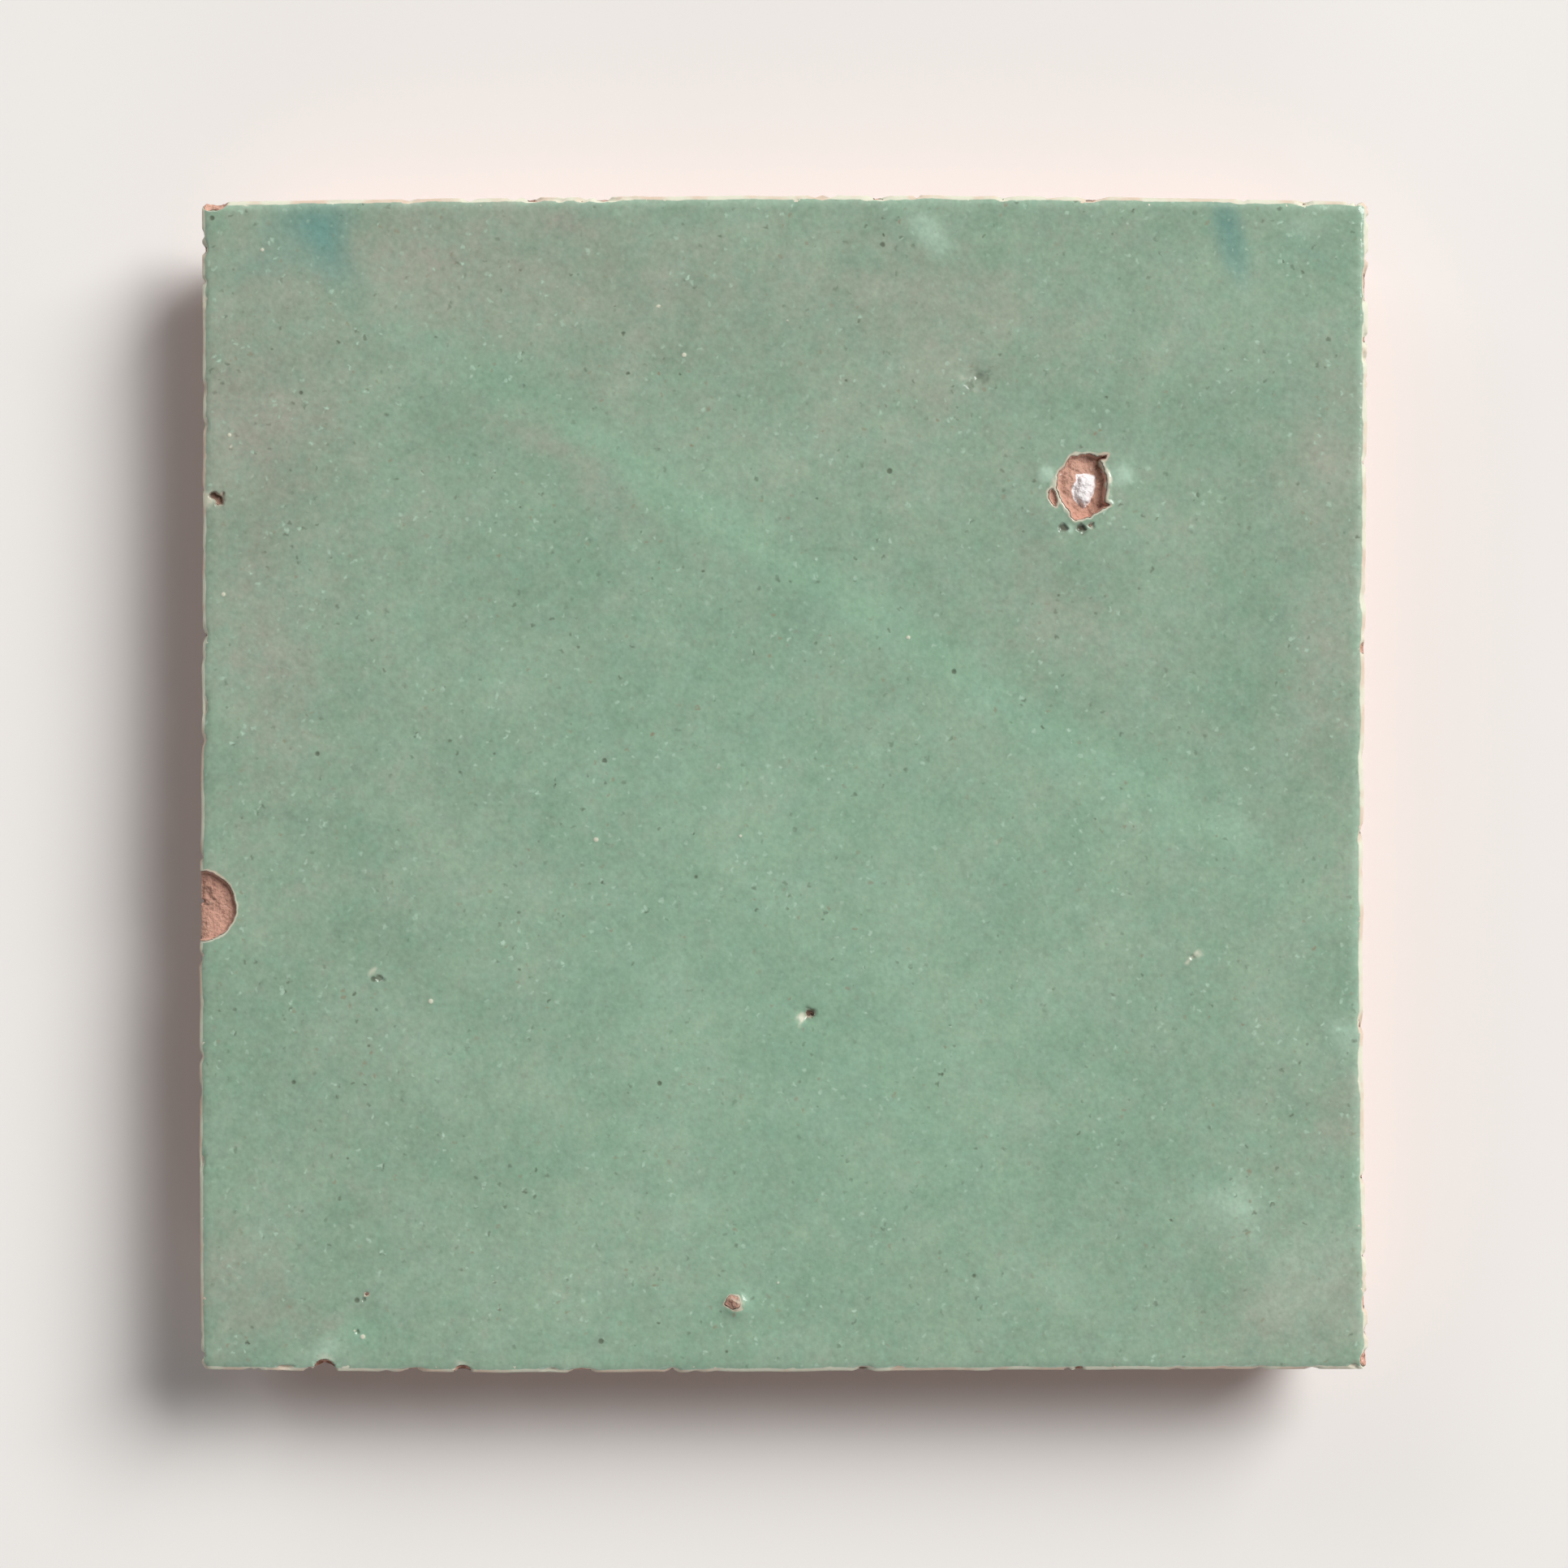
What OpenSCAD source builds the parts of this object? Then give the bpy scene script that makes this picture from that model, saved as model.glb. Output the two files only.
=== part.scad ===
// Zellige tile: one square of fired clay, glazed on its upper face. The clay is cut by hand, so the
// face is not quite square or flat, and the sides are struck off with a hammer so that they slope
// in under the glaze. Millimetres, +Z up, origin at the middle of the flat back, glaze upwards.

/* [Tile] */
// Side of the square face, between the corners
side = 99.6; // [60:0.1:160]
// Thickness, from the flat back to the mean level of the glaze
thickness = 11; // [8:0.1:20]

/* [Outline of the face] */
// How far the front side bows out at its middle
bow_front = 0.3; // [-1:0.05:1]
// How far the right side bows out at its middle
bow_right = -0.35; // [-1:0.05:1]
// How far the back side bows out at its middle
bow_back = 0.6; // [-1:0.05:1]
// How far the left side bows out at its middle
bow_left = 0.1; // [-1:0.05:1]
// Sideways wander of each side, on top of its bow
sway = 0.12; // [0:0.02:0.5]
// Depth of the nibbles that the hammer leaves along the arris
nibble = 0.12; // [0:0.02:0.4]

/* [Glazed face] */
// Height of the long swells of the hand-pressed face
swell = 0.22; // [0:0.02:0.6]
// Length of the long swells
swell_len = 88; // [40:1:200]
// Height of the short ripples in the glaze
ripple = 0.05; // [0:0.01:0.2]
// Length of the short ripples
ripple_len = 21; // [16:0.5:40]
// How far the glaze falls away at the arris
arris_drop = 0.35; // [0.1:0.05:0.8]
// Width of the rounded band along the arris
arris_band = 1.2; // [0.8:0.1:3]

/* [Hewn sides] */
// How far the back edge lies in from the arris
undercut = 3.2; // [0.5:0.1:6]
// Mean depth of the scars left by the hammer blows
scar_depth = 0.65; // [0.1:0.05:1.2]
// Radius of the rounded bottom of a scar
scar_radius = 14; // [8:0.5:30]
// Mean distance from one hammer blow to the next
blow_pitch = 8.3; // [6:0.1:14]

/* [Burst crater] */
// Distance of the crater from the right side
crater_from_right = 24.6; // [8:0.1:50]
// Distance of the crater from the back side
crater_from_back = 24.4; // [8:0.1:50]
// Width of the crater's mouth
crater_width = 4.4; // [2:0.1:8]
// Length of the crater's mouth
crater_length = 5.7; // [2:0.1:10]
// Depth of the crater's clay floor
crater_depth = 0.7; // [0.3:0.05:2]
// Width of the hollow in the crater's floor
hollow_width = 2.9; // [1:0.1:3.5]
// Depth of that hollow below the glaze
hollow_depth = 1.5; // [0.8:0.1:3]
// Width of the lime grain left in the hollow
grain_width = 1.9; // [0.5:0.1:2.4]
// Height of the lime grain above the bottom of the hollow
grain_height = 0.9; // [0.3:0.05:1.5]

/* [Spalled chip] */
// Distance of the chip from the front side
chip_from_front = 39.6; // [6:0.1:90]
// Radius of the half-round chip
chip_radius = 3; // [1:0.1:6]
// Depth of the chip, through the glaze and into the clay
chip_depth = 0.5; // [0.2:0.05:2]

/* [Hidden] */

// Small pits in the glaze: distance from the left or (negative) the right side, distance from the
// front or (negative) the back side, width of the mouth, depth
pits = [
    [-33.8, -15.1, 1.2, 0.22],
    [1.1, -25.2, 1.1, 0.4],
    [51.6, 30.3, 0.9, 0.3],
    [45.5, 5.6, 1.5, 0.45],
    [-15.0, 35.2, 0.7, 0.2],
    [15.0, 33.5, 0.6, 0.2],
    [-27.2, -25.4, 1.4, 0.35],
    [-25.9, -27.9, 0.6, 0.25],
    [-24.7, -27.8, 0.6, 0.25],
    [13.2, 3.2, 0.9, 0.3],
];

// Nicks knocked out of the arris: side (0 front, 1 right, 2 back, 3 left), distance along it from its
// left or front end or (negative) from the other end, width, depth
nicks = [
    [0, 10.5, 1.9, 1.3],
    [0, 22.3, 1.6, 0.55],
    [0, -24.7, 0.9, 0.3],
    [1, 0.7, 2.4, 0.5],
    [1, -38.1, 1.2, 0.3],
    [2, 0.9, 2.8, 0.55],
];

// Courses of hammer blows along a side: share of the way down it, offset along it in blows
courses = [[0.36, 0.5], [0.78, 0]];
stray_along = 0.35; // how far a blow lands off its mark along the side, in blows
stray_down = 0.1; // how far a blow lands off its mark down the side, as a share of its height
bite_spread = 0.6; // difference between the deepest and the shallowest scar, in mean depths

half = side / 2;
cells = 36; // cells across the face between the two arris bands
arris_rows = [0, 0.3 * arris_band, arris_band];
last = cells + 4; // index of the last grid line
side_rows = [0.1, 0.4, 0.7, 1.04]; // grid lines down the sides, past the flat of the back
blows = round(side / blow_pitch);
big = 2 * thickness;

// Each side as [bow, wander at its end], in the order front, right, back, left
bows = [bow_front, bow_right, bow_back, bow_left];
wander = [sway, -sway, -sway / 2, sway];

// Distance of grid line i from the start of its side
function station(i) =
    i < 3 ? arris_rows[i]
    : i > last - 3 ? side - arris_rows[last - i]
    : arris_band + (side - 2 * arris_band) * (i - 2) / cells;

// How far side k stands out from the straight line between its corners, at a distance s along it
function stand_out(k, s) =
    let (t = s / side, ends = sin(180 * t))
    bows[k] * 4 * t * (1 - t)
    + wander[k] * sin(360 * t)
    - nibble * ends * (0.6 * abs(sin(180 * s / blow_pitch + 50 * k))
                       + 0.4 * abs(sin(180 * s / (0.62 * blow_pitch) + 80 * k)));

// The face is a patch spanned by its four sides, with (s, t) the distances from the left and front
function face_x(s, t) =
    s - half + (s / side) * stand_out(1, t) - (1 - s / side) * stand_out(3, t);
function face_y(s, t) =
    t - half + (t / side) * stand_out(2, s) - (1 - t / side) * stand_out(0, s);

// Level of the glaze away from the arris, from long swells and short ripples
function glaze_level(x, y) =
    thickness
    + swell * (0.6 * sin(360 * (x + 0.35 * y) / swell_len + 40)
               + 0.4 * cos(360 * (y - 0.4 * x) / (1.3 * swell_len) + 10))
    + ripple * sin(360 * (x + 0.5 * y) / ripple_len)
             * cos(360 * (y - 0.3 * x) / (1.4 * ripple_len));

// The glaze rounds over towards the nearest side
function rounding(s, t) =
    let (d = min(s, side - s, t, side - t))
    arris_drop * pow(1 - min(d / arris_band, 1), 2);

function face_point(s, t) =
    let (x = face_x(s, t), y = face_y(s, t))
    [x, y, glaze_level(x, y) - rounding(s, t)];

OUT = [[0, -1], [1, 0], [0, 1], [-1, 0]];

// Point on the arris of side k, at a distance s along it
function arris_point(k, s) =
    k == 0 ? face_point(s, 0)
    : k == 1 ? face_point(side, s)
    : k == 2 ? face_point(s, side)
    : face_point(0, s);

// The point below arris point p, a share w of the way down the side
function side_point(p, w) =
    let (shrink = 1 - undercut * pow(w, 1.5) / half)
    [p.x * shrink, p.y * shrink, p.z * (1 - w)];

// The arris at its grid lines, going round anticlockwise
rim = [for (k = [0:3]) for (i = [0:last - 1]) arris_point(k, station(k < 2 ? i : last - i))];
rim_mid = [(min([for (p = rim) p.x]) + max([for (p = rim) p.x])) / 2,
           (min([for (p = rim) p.y]) + max([for (p = rim) p.y])) / 2];

// Distance from the left or front side, given from either side of the tile
function from_side(d) = d < 0 ? side + d : d;

// The clay before it is struck: the face, the sloping sides and a bottom just below the back
module body() {
    grid = last + 1;
    around = 4 * last;
    face_points = [for (j = [0:last]) for (i = [0:last]) face_point(station(i), station(j))];
    side_points = [for (w = side_rows) for (p = rim) side_point(p, w)];
    bottom = side_points[len(side_points) - 1].z;
    rows = len(side_rows);
    // Index of the rim point n, counted anticlockwise from the front left corner
    rim_index = [for (n = [0:around - 1])
        let (k = floor(n / last), i = n % last)
        k == 0 ? i : k == 1 ? i * grid + last : k == 2 ? last * grid + last - i : (last - i) * grid];
    function at(row, n) =
        row == 0 ? rim_index[n % around] : grid * grid + (row - 1) * around + n % around;
    centre = grid * grid + rows * around;
    face_cells = [for (j = [0:last - 1]) for (i = [0:last - 1])
        let (a = j * grid + i, b = a + 1, c = b + grid, d = a + grid)
        each [[a, c, b], [a, d, c]]];
    side_cells = [for (r = [0:rows - 1]) for (n = [0:around - 1])
        let (a = at(r, n), b = at(r, n + 1), c = at(r + 1, n + 1), d = at(r + 1, n))
        each [[a, b, c], [a, c, d]]];
    back_cells = [for (n = [0:around - 1]) [at(rows, n), at(rows, n + 1), centre]];
    polyhedron(
        points = concat(face_points, side_points, [[0, 0, bottom]]),
        faces = concat(face_cells, side_cells, back_cells)
    );
}

// A round-bottomed pit, let into the face at the level that the glaze has there
module bowl(x, y, width, depth) {
    r = (pow(width / 2, 2) + pow(depth, 2)) / (2 * depth);
    translate([x, y, glaze_level(x, y) + r - depth]) sphere(r, $fn = 48);
}

module pit(p) {
    s = from_side(p[0]);
    t = from_side(p[1]);
    bowl(face_x(s, t), face_y(s, t), p[2], p[3]);
}

crater_x = face_x(side - crater_from_right, side - crater_from_back);
crater_y = face_y(side - crater_from_right, side - crater_from_back);

// Crater that a grain of lime burst open: an oval of bare clay with a deeper hollow
module crater() {
    for (end = [-1, 1])
        bowl(crater_x, crater_y + end * (crater_length - crater_width) / 2, crater_width, crater_depth);
    bowl(crater_x, crater_y, hollow_width, hollow_depth);
}

// What is left of the lime grain, at the bottom of the hollow
module lime_grain() {
    bottom = glaze_level(crater_x, crater_y) - hollow_depth;
    translate([crater_x, crater_y, bottom + grain_height - grain_width / 2])
        sphere(d = grain_width, $fn = 32);
}

// Half-round flake of glaze lost from the left side, with a flat floor in the clay
module chip() {
    x = face_x(0, chip_from_front);
    y = face_y(0, chip_from_front);
    translate([x, y, glaze_level(x + chip_radius / 2, y) - chip_depth])
        cylinder(r = chip_radius, h = big, $fn = 64);
}

// Flake knocked out of the arris, scooped from above and outside at once
module nick(n) {
    k = n[0];
    p = arris_point(k, from_side(n[1]));
    r = (pow(n[2] / 2, 2) + pow(n[3], 2)) / (2 * n[3]);
    out = (r - n[3]) * sqrt(0.5);
    translate([p.x + OUT[k].x * out, p.y + OUT[k].y * out, p.z + out]) sphere(r, $fn = 48);
}

// Uneven but repeatable number from -0.5 to 0.5, for blow i of course c on side k
function stray(k, c, i, n) =
    let (v = 43.7 * sin(127.1 * i + 311.7 * k + 74.7 * c + 91.3 * n))
    v - floor(v) - 0.5;

// Round-bottomed scar where a hammer blow took a flake off side k
module scar(k, c, i) {
    s = (i + courses[c][1] + stray_along * stray(k, c, i, 0)) * side / blows;
    w = courses[c][0] + stray_down * stray(k, c, i, 1);
    depth = scar_depth * (1 + bite_spread * stray(k, c, i, 2));
    p = side_point(arris_point(k, s), w);
    lean = atan(undercut / thickness);
    out = (scar_radius - depth) * cos(lean);
    down = (scar_radius - depth) * sin(lean);
    translate([p.x + OUT[k].x * out, p.y + OUT[k].y * out, p.z - down]) sphere(scar_radius, $fn = 64);
}

// All that the hammer took off the four sides
module scars() {
    for (k = [0:3])
        for (c = [0:1])
            for (i = [0:blows - 1 + c]) scar(k, c, i);
}

module tile() {
    color([0.56, 0.65, 0.57])
    translate([-rim_mid.x, -rim_mid.y, 0]) {
        difference() {
            body();
            crater();
            chip();
            for (p = pits) pit(p);
            for (n = nicks) nick(n);
            scars();
            // The flat back
            translate([-side, -side, -big]) cube([2 * side, 2 * side, big]);
        }
        lime_grain();
    }
}

tile();
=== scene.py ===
import math

import bmesh
import bpy
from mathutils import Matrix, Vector, noise


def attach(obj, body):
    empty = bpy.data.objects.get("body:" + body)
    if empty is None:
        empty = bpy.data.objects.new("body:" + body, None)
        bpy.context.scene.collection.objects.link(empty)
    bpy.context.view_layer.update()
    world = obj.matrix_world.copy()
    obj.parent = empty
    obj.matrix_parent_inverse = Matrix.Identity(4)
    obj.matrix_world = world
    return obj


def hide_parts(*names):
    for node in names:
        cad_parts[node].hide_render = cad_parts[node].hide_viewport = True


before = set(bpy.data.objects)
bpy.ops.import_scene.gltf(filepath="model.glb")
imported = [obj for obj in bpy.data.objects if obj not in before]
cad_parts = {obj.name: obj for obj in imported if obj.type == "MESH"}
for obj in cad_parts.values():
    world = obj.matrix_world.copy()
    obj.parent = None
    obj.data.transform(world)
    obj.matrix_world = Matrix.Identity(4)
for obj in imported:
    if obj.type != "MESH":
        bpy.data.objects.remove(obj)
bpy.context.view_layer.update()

MM = 0.001  # metres in a millimetre

# The tile, by the names of the part's source
SIDE = 99.6
HALF = SIDE / 2
THICKNESS = 11.0
BOWS = (0.3, -0.35, 0.6, 0.1)  # front, right, back, left
SWAY = 0.12
WANDER = (SWAY, -SWAY, -SWAY / 2, SWAY)
NIBBLE = 0.12
BLOWS = 12
BLOW_PITCH = 8.3
SWELL = 0.22
SWELL_LEN = 88.0
RIPPLE = 0.05
RIPPLE_LEN = 21.0
ARRIS_DROP = 0.35
ARRIS_BAND = 1.2
UNDERCUT = 3.2
SCAR_DEPTH = 0.65
SCAR_RADIUS = 14.0
COURSES = ((0.36, 0.5), (0.78, 0.0))  # share of the way down the side, offset along it in blows
STRAY_ALONG = 0.35
STRAY_DOWN = 0.1
BITE_SPREAD = 0.6
OUT = ((0, -1), (1, 0), (0, 1), (-1, 0))

# Nicks in the arris: side, distance along it, width, depth
NICKS = (
    (0, 10.5, 1.9, 1.3),
    (0, 22.3, 1.6, 0.55),
    (0, SIDE - 24.7, 0.9, 0.3),
    (1, 0.7, 2.4, 0.5),
    (1, SIDE - 38.1, 1.2, 0.3),
    (2, 0.9, 2.8, 0.55),
)
CHIP = (-49.8, -10.3)
CHIP_RADIUS = 3.0
CHIP_DEPTH = 0.5
CRATER = (25.3, 25.4)

# Outlines round the middle of the crater: its rim, the grain of lime in it, and the flake beside it
CRATER_RIM = (
    (-1.0, 2.75), (0.3, 2.85), (1.5, 2.8), (2.2, 2.8), (2.1, 2.45), (1.65, 2.25), (1.95, 1.5),
    (2.08, 0.6), (2.1, -0.5), (2.05, -1.2), (2.3, -1.55), (1.6, -2.0), (0.7, -2.6), (0.0, -2.85),
    (-0.7, -2.75), (-1.2, -1.9), (-1.7, -0.9), (-2.15, 0.0), (-2.05, 1.35), (-1.4, 2.05),
)
LIME_GRAIN = (
    (-0.35, 1.1), (0.4, 1.2), (1.1, 1.0), (1.15, 0.3), (0.95, -0.5), (0.6, -1.2), (0.25, -1.6),
    (-0.2, -1.35), (-0.75, -0.65), (-0.7, 0.1), (-0.4, 0.5),
)
SIDE_FLAKE = (
    (-2.55, 0.0), (-2.25, -0.35), (-2.05, -1.1), (-2.15, -1.7), (-2.5, -1.45), (-2.85, -0.9),
    (-2.85, -0.4),
)

# Pits in the face: place, width, depth, share of bare clay in it, darkness as painted shade in and round it
PITS = (
    (16.5, 34.85, 1.4, 0.06, 0.0, 0.45),
    (15.85, 34.15, 0.8, 0.03, 0.0, 0.35),
    (-48.4, 24.6, 1.2, 0.5, 0.6, 0.7),
    (2.0, -19.45, 0.9, 0.3, 0.4, 0.7),
    (-4.2, -44.1, 1.7, 0.05, 0.55, 0.0),
    (-4.5, -44.35, 1.2, 0.1, 0.0, 0.4),
    (34.75, -14.7, 0.5, 0.1, 0.0, 0.15),
    (-34.6, -16.4, 0.6, 0.12, 0.0, 0.55),
    (23.85, 21.9, 0.85, 0.16, 0.0, 0.8),
    (25.1, 21.9, 0.9, 0.22, 0.0, 0.95),
    (26.05, 22.15, 0.6, 0.2, 0.3, 0.5),
    (-36.6, -46.6, 0.6, 0.12, 0.0, 0.3),
    (-35.7, -43.4, 0.6, 0.15, 0.4, 0.5),
    (-35.9, -43.8, 0.5, 0.1, 0.0, 0.5),
    (-49.2, -9.2, 1.3, 0.12, 1.0, 0.5),
    (-49.1, -10.2, 1.0, 0.08, 1.0, 0.35),
)

# Swellings and, below 0, dimples of the glaze: place, radius, height
SWELLINGS = (
    (-4.1, -44.2, 1.0, 0.42),
    (16.2, 35.0, 1.0, -0.2),
    (1.75, -19.6, 0.7, -0.24),
    (28.7, 26.5, 1.1, 0.16),
    (22.4, 26.4, 0.8, 0.12),
    (24.6, 21.6, 1.3, -0.1),
    (37.5, -0.6, 1.7, 0.12),
    (39.4, -2.2, 1.2, -0.05),
    (37.5, -35.9, 1.6, 0.14),
    (47.0, -21.5, 1.2, 0.12),
    (12.0, 47.6, 1.2, 0.14),
    (34.8, -14.6, 0.7, 0.06),
    (-34.9, -16.2, 0.7, 0.06),
    (-36.4, -45.6, 1.6, -0.08),
    (-44.0, 22.0, 2.2, 0.06),
)

# Dark iron specks that show singly on the face
SPECKS = (
    (-41.3, 33.5), (-13.3, 42.6), (-14.5, 40.8), (-13.8, 38.5), (-13.4, 35.1), (5.2, 34.5),
    (8.9, 26.8), (2.7, 24.4), (-7.0, 18.2), (8.3, 46.1), (21.6, 41.1), (27.4, 33.0),
    (-39.9, 2.7), (-24.8, 2.7), (-15.4, 2.1), (-7.6, -7.8), (7.5, -6.1), (-35.1, -16.5),
    (-35.5, -22.2), (-41.9, -25.3), (-10.7, -25.4), (-37.3, -31.8), (-36.5, -43.9), (-10.8, -45.8),
    (-12.8, -47.7), (-15.7, -47.4), (-5.0, -48.3), (16.1, -41.8), (14.4, 9.7), (23.3, 16.2),
    (-48.9, 48.4),
)
# Pale bubbles that show singly on the face
BUBBLES = (
    (-44.6, 45.7), (-10.8, 40.8), (0.2, 39.6), (-8.6, 36.7), (-47.4, 29.9), (1.9, 29.1),
    (-16.1, -4.6), (-3.8, -4.3), (28.1, 4.0), (-30.2, -18.4), (-0.6, -42.4), (-47.9, 16.3),
    (10.5, 12.6), (-36.7, -46.5), (-36.0, -47.0),
)

# Clouds of colour in the glaze: place, half length, half width, turn in degrees, strength
TEAL = (
    (-41.0, 48.2, 4.6, 2.4, 10, 0.6),
    (-39.5, 45.4, 3.0, 2.2, -60, 0.5),
    (-44.8, 44.2, 2.6, 1.8, 0, 0.35),
    (-36.6, 42.6, 3.2, 2.0, -40, 0.28),
    (38.4, 46.4, 4.0, 1.6, 104, 0.7),
    (37.2, 48.4, 1.8, 1.5, 0, 0.3),
    (44.9, 45.2, 4.0, 1.4, -45, 0.36),
)
BEIGE = (
    (-46, 32, 12, 7, 85, 1.1),
    (-44, 11, 11, 5, 90, 0.75),
    (-30, 46, 11, 5, 0, 0.85),
    (-12, 42, 12, 6, 0, 0.6),
    (11, 39, 10, 7, 0, 0.65),
    (24, 16, 9, 4, -60, 0.45),
    (-19, 28, 8, 1.8, -38, 0.6),
    (46, 10, 12, 4, 90, 0.6),
    (46, 30, 9, 5, 90, 0.5),
    (48, -27, 5, 2.5, 90, 0.7),
    (46, -44, 7, 5, 0, 0.8),
    (-47, -44, 7, 5, 0, 0.75),
    (-18.7, 48.4, 2.6, 1.6, 0, 0.9),
    (-37.5, -45.2, 2.4, 1.0, 30, 0.7),
)
GREEN = (
    (2.5, 17.6, 42, 2.0, -32.3, 1.0),
    (33, -3, 12, 4, -32, 0.35),
    (4, -22, 30, 30, 0, 0.75),
    (-10, 5, 20, 14, -30, 0.3),
    (44, 42, 7, 6, 0, 0.4),
    (-36.2, -46.8, 1.6, 1.0, 20, 0.9),
    (6, -24, 12, 1.6, -40, 0.3),
)
# Pale pools of glaze, and painted highlights on the lit sides of swellings, dimples and the crater's lip
PALE_AND_SHEEN = (
    (38.5, -3.5, 4.5, 2.2, -35, 0.65),
    (37.5, -35.9, 3.2, 2.4, 0, 0.85),
    (45.0, -41.0, 8.0, 5.0, 60, 0.65),
    (47.5, -21.5, 2.6, 1.8, 90, 0.75),
    (12.4, 47.0, 2.8, 1.3, -50, 1.3),
    (44.2, 47.6, 1.8, 1.4, 0, 0.7),
    (0.0, 42.0, 6.0, 3.0, 0, 0.2),
    (28.8, 26.5, 1.3, 1.1, 0, 1.3),
    (22.3, 26.4, 0.8, 0.8, 0, 1.9),
    (24.5, 21.95, 0.4, 0.35, 0, 1.6),
    (-39.1, -48.0, 2.0, 1.2, 40, 0.9),
    (-2.9, -43.9, 0.9, 0.5, 80, 0.5),
    (15.0, 34.6, 0.8, 0.4, -20, 0.3),
)
# Smudges of slip that shows through the glaze, and painted highlights on the lit walls of pits and dimples
# and on the crater's lip
SLIP_AND_HIGHLIGHTS = (
    (-49.3, 24.5, 0.5, 0.75, 0, 1.4),
    (1.3, -19.85, 0.6, 0.32, 75, 1.1),
    (-4.15, -44.05, 0.75, 0.25, -36, 0.75),
    (-3.7, -43.8, 0.5, 0.3, -36, 0.35),
    (35.15, -14.4, 0.5, 0.3, 60, 0.75),
    (34.35, -15.0, 0.45, 0.32, 20, 0.8),
    (-35.2, -15.9, 0.5, 0.36, 60, 0.75),
    (15.2, 34.85, 0.6, 0.25, -8, 0.45),
    (16.2, 33.75, 0.5, 0.25, 0, 0.4),
    (23.5, 24.3, 1.6, 0.2, -62, 0.9),
    (22.8, 25.9, 0.7, 0.2, 80, 0.6),
    (27.6, 25.3, 1.5, 0.15, 90, 1.1),
    (27.2, 27.2, 0.7, 0.16, -58, 2.2),
    (-38.5, -45.3, 1.0, 0.4, 20, 0.2),
    (-39.3, -48.9, 1.1, 0.8, 0, 0.5),
    (-27.5, -49.4, 0.9, 0.5, 0, 0.6),
    (-45.5, 26.5, 0.2, 0.2, 0, 0.6),
    (-47.2, 28.9, 0.25, 0.2, 0, 0.8),
)

# Stretches of the arris that crumble more: place, half length, half width, turn in degrees, strength
CRUMBLING = (
    (49.5, 41.0, 6.0, 2.5, 90, 0.3),
    (49.5, -44.0, 5.0, 2.5, 90, 0.3),
    (44.0, 49.5, 4.0, 2.5, 0, 0.15),
    (-17.5, 49.5, 3.0, 2.5, 0, 0.25),
    (-49.5, 46.0, 4.0, 2.5, 90, 0.2),
    (-42.0, -49.5, 4.0, 2.5, 0, 0.2),
)
CREAM_LINE_AND_HIGHLIGHT = (0.26, 0.36, 0.32, 0.26)  # width of the slip that shows along the front, right, back, left arris; wider on the right and back as painted highlight
FLAKES = ((3.6, 0.6), (1.6, 0.3))  # size and depth of the scoops in the hewn sides
CORNER = 0.7  # radius of the worn corners

# Scrapes and hollows in the back: place, half length, half width, turn in degrees, depth
SCRAPES = (
    (-18, 12, 16, 2.2, 74, 0.35),
    (9, -20, 20, 1.8, 81, 0.3),
    (27, 18, 12, 2.6, 66, 0.35),
    (-31, -24, 9, 2.4, 88, 0.3),
    (4, 33, 5, 3.0, 20, 0.4),
    (-8, -4, 2.2, 1.6, 0, 0.45),
    (34, -30, 2.6, 1.8, 40, 0.45),
    (-36, 31, 2.0, 1.5, 10, 0.4),
)
GLAZE_COAT = 0.4  # thickness of the glaze and its slip, seen where they are broken through
CRUMB_BAND = 0.6  # how far in from the arris it crumbles
CRUMB_DEPTH = 0.32

COARSE_CELLS = 83
COARSE_ROWS = 11
CLOSE_ROWS = 0.048  # share of a side whose grid lines are gathered into the band along the arris
CLOSE_BAND = 1.6
CUT_BELOW = 2.5  # how far below the face the grid is still cut finer
SCAR_REACH = 3.0  # how far in from a side its scars can reach

# What the modelling keeps on each vertex. Distances are inside something, or below 0 outside it
MARKS = (
    "bare",  # distance inside bare clay
    "arris",  # distance from the arris, in widths of the slip that shows there, wider on the right and back as painted highlight
    "dark",  # painted shade in and round a pit, 0 to 1
    "lime",  # distance inside the grain of lime
    "slip",  # strength of the smudges of slip, and of the painted highlights among them
    "teal",  # strength of the clouds of colour, for these four; pale is partly painted highlight
    "beige",
    "green",
    "pale",
    "speck",  # distance inside a dark speck
    "bubble",  # distance inside a pale bubble
    "hollow",  # 0 where the clay is proud, up to 1 where it is scooped out
)


def wave(turns):
    """Sine of an angle given in whole turns."""
    return math.sin(2 * math.pi * turns)


def soft_step(low, high, value):
    """0 up to low, 1 from high on, with an eased step between."""
    share = min(max((value - low) / (high - low), 0.0), 1.0)
    return share * share * (3 - 2 * share)


def lumps(x, y, z, size):
    """Smooth unevenness from about -0.5 to 0.5, with lumps of the given size."""
    return 0.6 * noise.noise(Vector((x / size, y / size, z / size)))


def cloud(x, y, patches):
    """Strength of the patches of one colour at a place on the face."""
    total = 0.0
    for px, py, length, width, turn, strength in patches:
        dx = x - px
        dy = y - py
        if abs(dx) < 2.5 * length + 2.5 * width and abs(dy) < 2.5 * length + 2.5 * width:
            c = math.cos(math.radians(turn))
            s = math.sin(math.radians(turn))
            along = (dx * c + dy * s) / length
            across = (dy * c - dx * s) / width
            total += strength * math.exp(-along * along - across * across)
    return total


def stand_out(k, s):
    """How far side k stands out from a straight line, at a distance s along it."""
    t = s / SIDE
    bites = 0.6 * abs(wave(0.5 * s / BLOW_PITCH + k * 5 / 36))
    bites += 0.4 * abs(wave(0.5 * s / (0.62 * BLOW_PITCH) + k * 2 / 9))
    return BOWS[k] * 4 * t * (1 - t) + WANDER[k] * wave(t) - NIBBLE * wave(0.5 * t) * bites


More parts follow.
